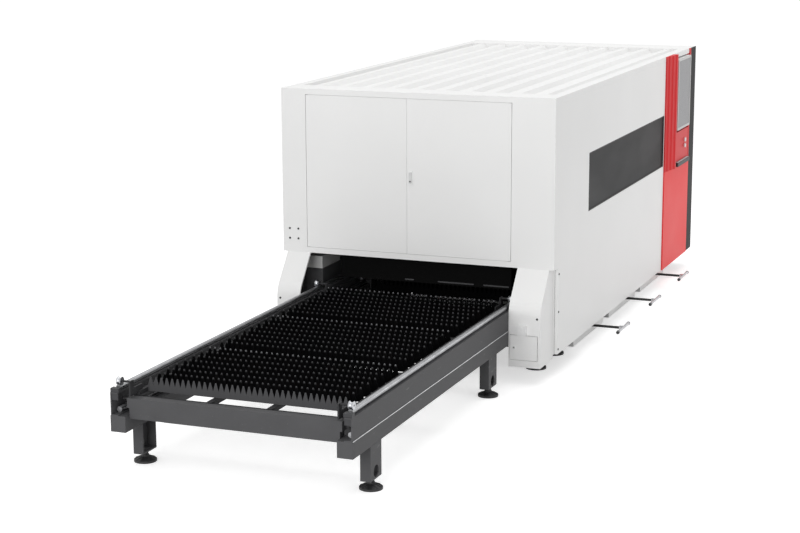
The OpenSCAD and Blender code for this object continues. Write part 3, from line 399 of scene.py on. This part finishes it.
finishes = {
    "whitePaint": powderCoat("whitePaint", paints["white"]),
    "wallPaint": shellPaint("wallPaint", paints["white"], roomLook),
    "lightPaint": powderCoat("lightPaint", paints["light"]),
    "greyPaint": powderCoat("greyPaint", paints["grey"]),
    "darkPaint": powderCoat("darkPaint", paints["dark"]),
    "sootAndShadePaint": powderCoat("sootAndShadePaint", paints["sootAndShade"]),
    "tablePaint": framePaint("tablePaint", framePaints["table"]),
    "palletPaint": framePaint("palletPaint", framePaints["pallet"]),
    "railSteel": brightMetal("railSteel", metals["rail"]),
    "turnedSteel": brightMetal("turnedSteel", metals["turned"]),
    "oiledSteel": brightMetal("oiledSteel", metals["oiled"]),
    "polishedSteel": brightMetal("polishedSteel", metals["polished"]),
    "steelEdgeLitFinish": brightMetal("steelEdgeLitFinish", metals["steelEdgeLit"]),
    "drawerSheet": drawerFinish("drawerSheet", drawerLook),
    "blackPlastic": moulded("blackPlastic", plastics["black"]),
    "whitePlastic": moulded("whitePlastic", plastics["white"]),
    "screenGlass": moulded("screenGlass", plastics["screen"]),
    "leverPlastic": moulded("leverPlastic", plastics["lever"]),
    "upperSlats": scorchedSteel("upperSlats", slatLook, *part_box("upper_slats")),
    "lowerSlats": scorchedSteel("lowerSlats", shadedSlatLook, *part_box("lower_slats")),
    "tintedPane": tintedPane("tintedPane", paneLook),
    "consoleRed": consolePaint("consoleRed", consoleLook),
    "headMetal": headFinish("headMetal", headLook),
    "gantryPaint": gantryFinish("gantryPaint", gantryLook),
}
nodeFinish = {
    "whitePaint": ["roof_frame", "roof_sheet", "door_left", "door_right", "leg_cover_left",
                   "leg_cover_right", "hatch_door"],
    "wallPaint": ["wall_left", "wall_right", "wall_rear", "front_portal"],
    "lightPaint": ["guide_end_covers", "monitor_case"],
    "greyPaint": ["end_panel"],
    "darkPaint": ["pallet_stop", "head_carriage"],
    # shutter in the near-black coat: soot and painted shade
    "sootAndShadePaint": ["mouth_shutter"],
    "tablePaint": ["bed_frame", "inner_tracks", "frame_posts", "table_beams", "table_channels",
                   "table_crossbeams", "table_legs", "drive_motor"],
    "palletPaint": ["upper_pallet_frame", "lower_pallet_frame"],
    "railSteel": ["pallet_rails", "y_guides"],
    "oiledSteel": ["drive_chains"],
    "drawerSheet": ["slag_drawer_1", "slag_drawer_2", "slag_drawer_3"],
    "turnedSteel": ["hinge_pins", "upper_front_wheels", "upper_rear_wheels", "lower_front_wheels",
                    "lower_rear_wheels", "drive_shaft", "idler_sprockets"],
    "polishedSteel": ["drawer_grip_1", "drawer_grip_2", "drawer_grip_3"],
    "blackPlastic": ["levelling_feet", "cover_bolts", "keyboard_shelf"],
    "whitePlastic": ["sensor_box", "start_button", "stop_button", "door_lock"],
    "screenGlass": ["monitor_screen"],
    "leverPlastic": ["lock_handle"],
    "upperSlats": ["upper_slats"],
    "lowerSlats": ["lower_slats"],
    "tintedPane": ["side_window"],
    "consoleRed": ["console_column", "button_box"],
    "headMetal": ["cutting_head"],
    "gantryPaint": ["gantry"],
}


def dressNodes():
    for finish, names in nodeFinish.items():
        for name in names:
            mesh = nodes[name].data
            mesh.materials.clear()
            mesh.materials.append(finishes[finish].material)


dressNodes()
print("stage: finishes on", sum(len(n) for n in nodeFinish.values()), "nodes")


# folded sheet and tube have small edge radii
edgeRadii = {
    "roof_frame": 0.003, "wall_left": 0.003, "wall_right": 0.003, "wall_rear": 0.003,
    "front_portal": 0.0015, "door_left": 0.0015, "door_right": 0.0015, "leg_cover_left": 0.003,
    "leg_cover_right": 0.003, "hatch_door": 0.0015, "table_beams": 0.002, "table_crossbeams": 0.003,
    "end_panel": 0.002,
}
edgeBevel = {"weld": 0.00002, "segments": 2, "angle": 50}


def softenEdges(radii, b):
    for name, radius in radii.items():
        weld = nodes[name].modifiers.new("weld", "WELD")
        weld.merge_threshold = b["weld"]
        bevel = nodes[name].modifiers.new("edge", "BEVEL")
        bevel.width = radius
        bevel.segments = b["segments"]
        bevel.limit_method = "ANGLE"
        bevel.angle_limit = math.radians(b["angle"])


softenEdges(edgeRadii, edgeBevel)


def makePiece(name, bm, finish, body):
    bmesh.ops.recalc_face_normals(bm, faces=bm.faces)
    mesh = bpy.data.meshes.new(name)
    bm.to_mesh(mesh)
    bm.free()
    mesh.materials.append(finishes[finish].material)
    piece = bpy.data.objects.new(name, mesh)
    scene.collection.objects.link(piece)
    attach(piece, body)
    return piece


def addBlock(bm, low, high, radius=0.0, segments=2):
    size = Vector(high) - Vector(low)
    middle = (Vector(high) + Vector(low)) / 2
    place = Matrix.Translation(middle) @ Matrix.Diagonal((*size, 1))
    made = bmesh.ops.create_cube(bm, size=1.0, matrix=place)
    edges = list({e for v in made["verts"] for e in v.link_edges})
    if radius:
        bmesh.ops.bevel(bm, geom=edges, offset=radius, offset_type="OFFSET", segments=segments,
                        profile=0.5, affect="EDGES", material=-1)


def axisTurn(axis):
    return Vector((0, 0, 1)).rotation_difference(Vector(axis)).to_matrix().to_4x4()


def addRod(bm, centre, axis, radius, length, sides=24, edge=0.0):
    place = Matrix.Translation(centre) @ axisTurn(axis)
    made = bmesh.ops.create_cone(bm, cap_ends=True, segments=sides, radius1=radius, radius2=radius,
                                 depth=length, matrix=place)
    if edge:
        rims = [e for e in {e for v in made["verts"] for e in v.link_edges} if len(e.link_faces) == 2
                and abs(e.calc_face_angle()) > 1.0]
        bmesh.ops.bevel(bm, geom=rims, offset=edge, offset_type="OFFSET", segments=2, profile=0.5,
                        affect="EDGES", material=-1)


# rubber caps on the ends of the drawers' T-bars
gripCaps = {"radius": 0.0172, "length": 0.022, "edge": 0.004, "sides": 28, "barIn": 0.0165,
            "past": 0.0006}


def makeGripCaps(g):
    inner = g["length"] / 2 - g["past"]
    for k in (1, 2, 3):
        low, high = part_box(f"drawer_grip_{k}")
        bm = bmesh.new()
        for end in (low.y + inner, high.y - inner):
            centre = (high.x - g["barIn"], end, (low.z + high.z) / 2)
            addRod(bm, centre, (0, 1, 0), g["radius"], g["length"], g["sides"], g["edge"])
        makePiece(f"gripCaps{k}", bm, "blackPlastic", f"drawer_{k}")


makeGripCaps(gripCaps)


# button-head bolts with hexagon sockets in place of the plain bolt discs
boltHeads = {"radius": 0.009, "height": 0.005, "edge": 0.0022, "socket": 0.0046, "depth": 0.0028,
             "sides": 24, "inset": 0.001}
boltPlaces = [((x, -0.795, z), (0, -1, 0)) for x in (-1.30825, -1.22625) for z in (1.07, 1.158)]
boltPlaces += [((x, -1.031, 0.576), (0, -1, 0)) for x in (-1.30225, 1.05775)]
boltPlaces += [((1.12775, -0.644, z), (1, 0, 0)) for z in (0.233, 0.561, 0.891)]


def addBolt(bm, foot, axis, b):
    turn = Matrix.Translation(foot) @ axisTurn(axis)
    made = bmesh.ops.create_cone(bm, cap_ends=True, segments=b["sides"], radius1=b["radius"],
                                 radius2=b["radius"], depth=b["height"],
                                 matrix=Matrix.Translation((0, 0, b["height"] / 2)))
    verts = list(made["verts"])
    faces = {f for v in verts for f in v.link_faces}
    top = max(faces, key=lambda f: f.calc_center_median().z)
    done = bmesh.ops.bevel(bm, geom=list(top.edges), offset=b["edge"], offset_type="OFFSET", segments=3,
                           profile=0.5, affect="EDGES", material=-1)
    verts = list({v for f in done["faces"] for v in f.verts} | {v for v in verts if v.is_valid})
    around = {f for v in verts for f in v.link_faces}
    top = max(around, key=lambda f: (round(f.calc_center_median().z, 6), f.calc_area()))
    bmesh.ops.inset_region(bm, faces=[top], thickness=b["inset"], use_even_offset=True)
    for v in top.verts:
        angle = math.atan2(v.co.y, v.co.x) % (math.pi / 3) - math.pi / 6
        reach = b["socket"] * math.cos(math.pi / 6) / math.cos(angle)
        flat = Vector((v.co.x, v.co.y, 0)).normalized() * reach
        v.co = Vector((flat.x, flat.y, v.co.z))
    sunk = bmesh.ops.extrude_discrete_faces(bm, faces=[top])["faces"]
    for v in sunk[0].verts:
        v.co.z -= b["depth"]
    found = set()
    queue = [sunk[0]]
    while queue:
        face = queue.pop()
        if face in found:
            continue
        found.add(face)
        queue.extend(f for e in face.edges for f in e.link_faces)
    bmesh.ops.transform(bm, matrix=turn, verts=list({v for f in found for v in f.verts}))


def makeBolts(b):
    bm = bmesh.new()
    for foot, axis in boltPlaces:
        addBolt(bm, foot, axis, b)
    piece = makePiece("boltHeads", bm, "blackPlastic", "machine")
    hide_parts("cover_bolts")


makeBolts(boltHeads)


# rubber seal between the pane and the wall's cut-out
windowSeal = {"width": 0.009, "proud": 0.0065, "edge": 0.002}


def makeWindowSeal(s):
    bm = bmesh.new()
    y0, y1, z0, z1 = windowLow.y, windowHigh.y, windowLow.z, windowHigh.z
    x0 = windowHigh.x
    x1 = x0 + s["proud"]
    w = s["width"]
    addBlock(bm, (x0, y0, z0), (x1, y1, z0 + w), s["edge"])
    addBlock(bm, (x0, y0, z1 - w), (x1, y1, z1), s["edge"])
    addBlock(bm, (x0, y0, z0 + w), (x1, y0 + w, z1 - w), s["edge"])
    addBlock(bm, (x0, y1 - w, z0 + w), (x1, y1, z1 - w), s["edge"])
    makePiece("windowSeal", bm, "blackPlastic", "machine")


makeWindowSeal(windowSeal)


# keys on the part of the keyboard shelf that stands out of the niche
keyboard = {"rows": 2, "keys": 22, "height": 0.004, "gap": 0.0025, "edge": 0.0012, "side": 0.02,
            "front": 0.004}


def makeKeyboard(k):
    bm = bmesh.new()
    x0 = boxHigh.x + k["gap"]
    x1 = shelfHigh.x - k["front"]
    y0 = shelfLow.y + k["side"]
    y1 = shelfHigh.y - k["side"]
    deep = (x1 - x0) / k["rows"]
    wide = (y1 - y0) / k["keys"]
    for row in range(k["rows"]):
        for key in range(k["keys"]):
            low = (x0 + row * deep, y0 + key * wide, shelfHigh.z)
            far = (x0 + (row + 1) * deep, y0 + (key + 1) * wide, shelfHigh.z)
            high = Vector(far) + Vector((-k["gap"], -k["gap"], k["height"]))
            addBlock(bm, low, high, k["edge"], 1)
    makePiece("keyboardKeys", bm, "leverPlastic", "machine")


makeKeyboard(keyboard)


# roller chain in place of the plain bands
chain = {"pitch": 0.0254, "radius": 0.0425, "height": 0.0118, "plate": 0.0015, "outer": 0.0055,
         "inner": 0.0036, "roller": 0.0042, "endIn": 0.0485, "sideIn": 0.007, "plateShare": 1.36,
         "sides": 8}


def chainPoint(travel, y0, y1, middle, r):
    straight = y1 - y0
    turn = math.pi * r
    if travel < straight:
        return Vector((0, y0 + travel, middle + r)), 0.0
    travel -= straight
    if travel < turn:
        a = travel / r
        return Vector((0, y1 + r * math.sin(a), middle + r * math.cos(a))), -a
    travel -= turn
    if travel < straight:
        return Vector((0, y1 - travel, middle - r)), -math.pi
    a = (travel - straight) / r
    return Vector((0, y0 - r * math.sin(a), middle - r * math.cos(a))), -math.pi - a


def makeChains(c):
    low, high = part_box("drive_chains")
    middle = (low.z + high.z) / 2
    r = c["radius"]
    y0 = low.y + c["endIn"]
    y1 = high.y - c["endIn"]
    loop = 2 * (y1 - y0) + 2 * math.pi * r
    count = int(round(loop / c["pitch"] / 2)) * 2
    pitch = loop / count
    across = axisTurn((1, 0, 0))
    flat = Matrix.Diagonal((c["plate"], pitch * c["plateShare"], c["height"], 1))
    for side, x in (("Left", low.x + c["sideIn"]), ("Right", high.x - c["sideIn"])):
        bm = bmesh.new()
        for k in range(count):
            place, angle = chainPoint((k + 0.5) * pitch, y0, y1, middle, r)
            turn = Matrix.Translation(Vector((x, 0, 0)) + place) @ Matrix.Rotation(angle, 4, "X")
            off = c["outer"] if k % 2 else c["inner"]
            for s in (-1, 1):
                shape = turn @ Matrix.Translation((s * (off + c["plate"] / 2), 0, 0)) @ flat
                bmesh.ops.create_cone(bm, cap_ends=True, segments=c["sides"], radius1=0.5, radius2=0.5,
                                      depth=1.0, matrix=shape @ across)
            pin = chainPoint(k * pitch, y0, y1, middle, r)[0]
            addRod(bm, Vector((x, 0, 0)) + pin, (1, 0, 0), c["roller"], 2 * c["inner"], c["sides"])
        piece = makePiece(f"rollerChain{side}", bm, "oiledSteel", "machine")
        if side == "Left":
            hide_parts("drive_chains")


makeChains(chain)


# lock barrel with its key slot
lockBarrel = {"radius": 0.0065, "length": 0.0026, "edge": 0.0006, "up": 0.18, "out": 0.0012,
              "slotWide": 0.0014, "slotHigh": 0.0085, "slotOut": 0.0031, "slotIn": 0.0024}


def makeLockBarrel(b):
    low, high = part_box("lock_handle")
    centre = Vector(((low.x + high.x) / 2, low.y, low.z + (high.z - low.z) * b["up"]))
    bm = bmesh.new()
    addRod(bm, centre - Vector((0, b["out"], 0)), (0, 1, 0), b["radius"], b["length"], edge=b["edge"])
    addBlock(bm, centre + Vector((-b["slotWide"] / 2, -b["slotOut"], -b["slotHigh"] / 2)),
             centre + Vector((b["slotWide"] / 2, -b["slotIn"], b["slotHigh"] / 2)))
    makePiece("lockBarrel", bm, "blackPlastic", "lock_handle")


makeLockBarrel(lockBarrel)


# round latch on the hatch, with a flat black disc for the keyhole as painted shade, between two marks
hatchLatch = {"radius": 0.0115, "length": 0.002, "edge": 0.0005, "in": 0.036, "out": 0.0008}
latchEye = {"radius": 0.0045, "length": 0.0006, "out": 0.0019, "markAt": 0.0072, "markWide": 0.0012,
            "markHigh": 0.0015, "markOut": 0.0018, "markIn": 0.0012}


def makeHatchLatch(h, eye):
    low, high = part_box("hatch_door")
    centre = Vector((low.x + h["in"], low.y, (low.z + high.z) / 2))
    bm = bmesh.new()
    addRod(bm, centre - Vector((0, h["out"], 0)), (0, 1, 0), h["radius"], h["length"], edge=h["edge"])
    makePiece("hatchLatch", bm, "leverPlastic", "hatch")
    bm = bmesh.new()
    # flat black disc for the keyhole: painted shade
    addRod(bm, centre - Vector((0, eye["out"], 0)), (0, 1, 0), eye["radius"], eye["length"])
    for way in (-1, 1):
        up = way * eye["markAt"]
        addBlock(bm, centre + Vector((-eye["markWide"], -eye["markOut"], up - eye["markHigh"])),
                 centre + Vector((eye["markWide"], -eye["markIn"], up + eye["markHigh"])))
    makePiece("hatchLatchEye", bm, "blackPlastic", "hatch")


makeHatchLatch(hatchLatch, latchEye)


# eyes on the sensor box
sensorEyes = {"radius": 0.011, "length": 0.0026, "edge": 0.0008, "in": 0.038, "out": 0.001,
              "shares": (0.3, 0.7)}


def makeSensorEyes(e):
    low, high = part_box("sensor_box")
    bm = bmesh.new()
    for share in e["shares"]:
        centre = (high.x - e["in"], low.y - e["out"], low.z + (high.z - low.z) * share)
        addRod(bm, centre, (0, 1, 0), e["radius"], e["length"], edge=e["edge"])
    makePiece("sensorEyes", bm, "whitePlastic", "machine")


makeSensorEyes(sensorEyes)


# moulded ribs and a collar on the foot pads
footRibs = {"ribs": 12, "from": 0.03, "margin": 0.004, "wide": 0.008, "low": 0.012, "inner": 0.042,
            "outer": 0.0215, "tip": 0.001, "collar": 0.03, "collarLow": 0.034, "collarHigh": 0.052,
            "collarEdge": 0.003}
footSearch = {"sole": 0.0005, "apart": 0.2}


def footPlaces(s):
    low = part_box("levelling_feet")[0]
    seen = {}
    for v in nodes["levelling_feet"].data.vertices:
        place = nodes["levelling_feet"].matrix_world @ v.co
        if place.z < low.z + s["sole"]:
            near = [k for k in seen if (Vector(k) - place.xy).length < s["apart"]]
            key = near[0] if near else tuple(place.xy)
            seen.setdefault(key, []).append(place.xy)
    for points in seen.values():
        x = (min(p.x for p in points) + max(p.x for p in points)) / 2
        y = (min(p.y for p in points) + max(p.y for p in points)) / 2
        yield x, y, max(p.x for p in points) - x


def makeFootRibs(r):
    middle = (r["collarLow"] + r["collarHigh"]) / 2
    collarDeep = r["collarHigh"] - r["collarLow"]
    bm = bmesh.new()
    for x, y, radius in footPlaces(footSearch):
        addRod(bm, (x, y, middle), (0, 0, 1), r["collar"], collarDeep, edge=r["collarEdge"])
        far = radius - r["margin"]
        for k in range(r["ribs"]):
            turn = Matrix.Translation((x, y, 0)) @ Matrix.Rotation(2 * math.pi * k / r["ribs"], 4, "Z")
            before = set(bm.verts)
            addBlock(bm, (r["from"], -r["wide"] / 2, r["low"]), (far, r["wide"] / 2, r["inner"]))
            rib = [v for v in bm.verts if v not in before]
            for v in rib:
                if v.co.x > far - r["tip"] and v.co.z > r["outer"]:
                    v.co.z = r["outer"]
            bmesh.ops.transform(bm, matrix=turn, verts=rib)
    makePiece("footRibs", bm, "blackPlastic", "machine")


makeFootRibs(footRibs)


# rubber in the gaps round the doors; on the hinge side it lies deeper, out of the way of the swing
doorSeals = {"proud": 0.0026, "in": 0.0008, "deep": 0.006, "edge": 0.0008, "pinSpace": 0.024,
             "hingeIn": 0.009, "hingeDeep": 0.004, "hingeEnd": 0.1}


def makeDoorSeals(s):
    for name, hinge in (("door_left", -1), ("door_right", 1)):
        low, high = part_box(name)
        y0 = low.y + s["in"]
        y1 = y0 + s["deep"]
        x0 = low.x + (s["pinSpace"] if hinge < 0 else 0)
        x1 = high.x - (s["pinSpace"] if hinge > 0 else 0)
        bm = bmesh.new()
        addBlock(bm, (x0, y0, high.z), (x1, y1, high.z + s["proud"]), s["edge"])
        addBlock(bm, (x0, y0, low.z - s["proud"]), (x1, y1, low.z), s["edge"])
        if hinge < 0:
            addBlock(bm, (high.x, y0, low.z), (high.x + s["proud"], y1, high.z), s["edge"])
        edge = low.x - s["proud"] if hinge < 0 else high.x
        deep = low.y + s["hingeIn"]
        addBlock(bm, (edge, deep, low.z + s["hingeEnd"]),
                 (edge + s["proud"], deep + s["hingeDeep"], high.z - s["hingeEnd"]), s["edge"])
        makePiece("sealOn" + name.title().replace("_", ""), bm, "whitePlastic", name)


makeDoorSeals(doorSeals)


# brushes in the shutter's slots: each slot's start and length are shares of the half width
slotBrushes = {"slots": ((-0.238, 0.105), (0.151, 0.418), (0.678, 0.295)), "half": 0.797, "end": 0.0005,
               "inset": 0.004, "low": 0.0145, "high": 0.0275}


def makeSlotBrushes(b):
    low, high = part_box("mouth_shutter")
    middle = (low.x + high.x) / 2
    bm = bmesh.new()
    for start, length in b["slots"]:
        x0 = middle + start * b["half"] + b["end"]
        x1 = middle + (start + length) * b["half"] - b["end"]
        addBlock(bm, (x0, low.y + b["inset"], low.z + b["low"]),
                 (x1, high.y - b["inset"], low.z + b["high"]))
    makePiece("slotBrushes", bm, "tablePaint", "shutter")


makeSlotBrushes(slotBrushes)


# guard plates behind the slag drawers
slagGuards = {"back": 0.03, "thick": 0.003, "past": 0.06, "low": 0.1, "high": 0.33}


def makeSlagGuards(g):
    for k in (1, 2, 3):
        low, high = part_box(f"slag_drawer_{k}")
        x1 = low.x - g["back"]
        bm = bmesh.new()
        addBlock(bm, (x1 - g["thick"], low.y - g["past"], g["low"]),
                 (x1, high.y + g["past"], g["high"]))
        # guard plates in the near-black coat: soot and painted shade
        makePiece(f"slagGuard{k}", bm, "sootAndShadePaint", "machine")


makeSlagGuards(slagGuards)


# bright strips along the outer top corners of the table beams: bare steel edges, made paler as a
# painted highlight
beamSteelEdgeLit = {"wide": 0.0046, "high": 0.004, "end": 0.006, "in": 0.0002, "edge": 0.0012}


def makeBeamSteelEdgeLit(t):
    low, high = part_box("table_beams")
    bm = bmesh.new()
    for x0 in (low.x + t["in"], high.x - t["in"] - t["wide"]):
        addBlock(bm, (x0, low.y + t["end"], high.z),
                 (x0 + t["wide"], high.y - t["end"], high.z + t["high"]), t["edge"])
    makePiece("beamSteelEdgeLit", bm, "steelEdgeLitFinish", "machine")


makeBeamSteelEdgeLit(beamSteelEdgeLit)
print("stage: pieces made")


# stage: pale floor, white surroundings and soft lamps
studio = {"floorSize": 320.0, "floorColour": (0.8, 0.8, 0.8, 1), "lift": (0.55, 0.55, 0.55, 1),
          "ambient": 0.6}
lamps = {
    "overhead": {"place": (0.5, 2.0, 9.2), "aim": (0.3, 1.2, 1), "size": (9, 14), "power": 375},
    "front": {"place": (0.2, -15.0, 3.6), "aim": (0, -1, 1.1), "size": (6, 6), "power": 670},
    "rightRear": {"place": (6.8, 8.6, 3.4), "aim": (1.3, 4.6, 1.3), "size": (3.6, 3), "power": 105},
}


def makeFloor(s):
    bm = bmesh.new()
    bmesh.ops.create_grid(bm, x_segments=2, y_segments=2, size=s["floorSize"] / 2)
    mesh = bpy.data.meshes.new("floor")
    bm.to_mesh(mesh)
    bm.free()
    constants = {"Base Color": s["floorColour"], "Roughness": 0.9, "Specular IOR Level": 0.0,
                 "Emission Strength": 1.0}
    f = Finish("floorWhite", constants)
    seen = f.node("ShaderNodeLightPath", {}, {}, "Is Camera Ray")
    shine = f.node("ShaderNodeLightPath", {}, {}, "Is Glossy Ray")
    f.set("Emission Color", f.mix(seen + shine, (0, 0, 0, 1), s["lift"]))
    mesh.materials.append(f.material)
    floor = bpy.data.objects.new("floor", mesh)
    scene.collection.objects.link(floor)


def makeWorld(s):
    world = bpy.data.worlds.new("studio")
    world.use_nodes = True
    tree = world.node_tree
    glow = tree.nodes["Background"]
    glow.inputs["Color"].default_value = (1, 1, 1, 1)
    path = tree.nodes.new("ShaderNodeLightPath")
    seen = Wire(tree, path.outputs["Is Camera Ray"])
    shine = Wire(tree, path.outputs["Is Glossy Ray"])
    clear = Wire(tree, path.outputs["Is Transmission Ray"])
    direct = seen + shine + clear
    plug(tree, glow.inputs["Strength"], direct * (1 - s["ambient"]) + s["ambient"])
    scene.world = world


def makeLamps(table):
    for name, l in table.items():
        data = bpy.data.lights.new(name, "AREA")
        data.shape = "RECTANGLE"
        data.size, data.size_y = l["size"]
        data.energy = l["power"]
        lamp = bpy.data.objects.new(name, data)
        ray = Vector(l["aim"]) - Vector(l["place"])
        turn = ray.to_track_quat("-Z", "Y").to_matrix().to_4x4()
        lamp.matrix_world = Matrix.Translation(l["place"]) @ turn
        scene.collection.objects.link(lamp)


makeFloor(studio)
makeWorld(studio)
makeLamps(lamps)
print("stage: studio ready")
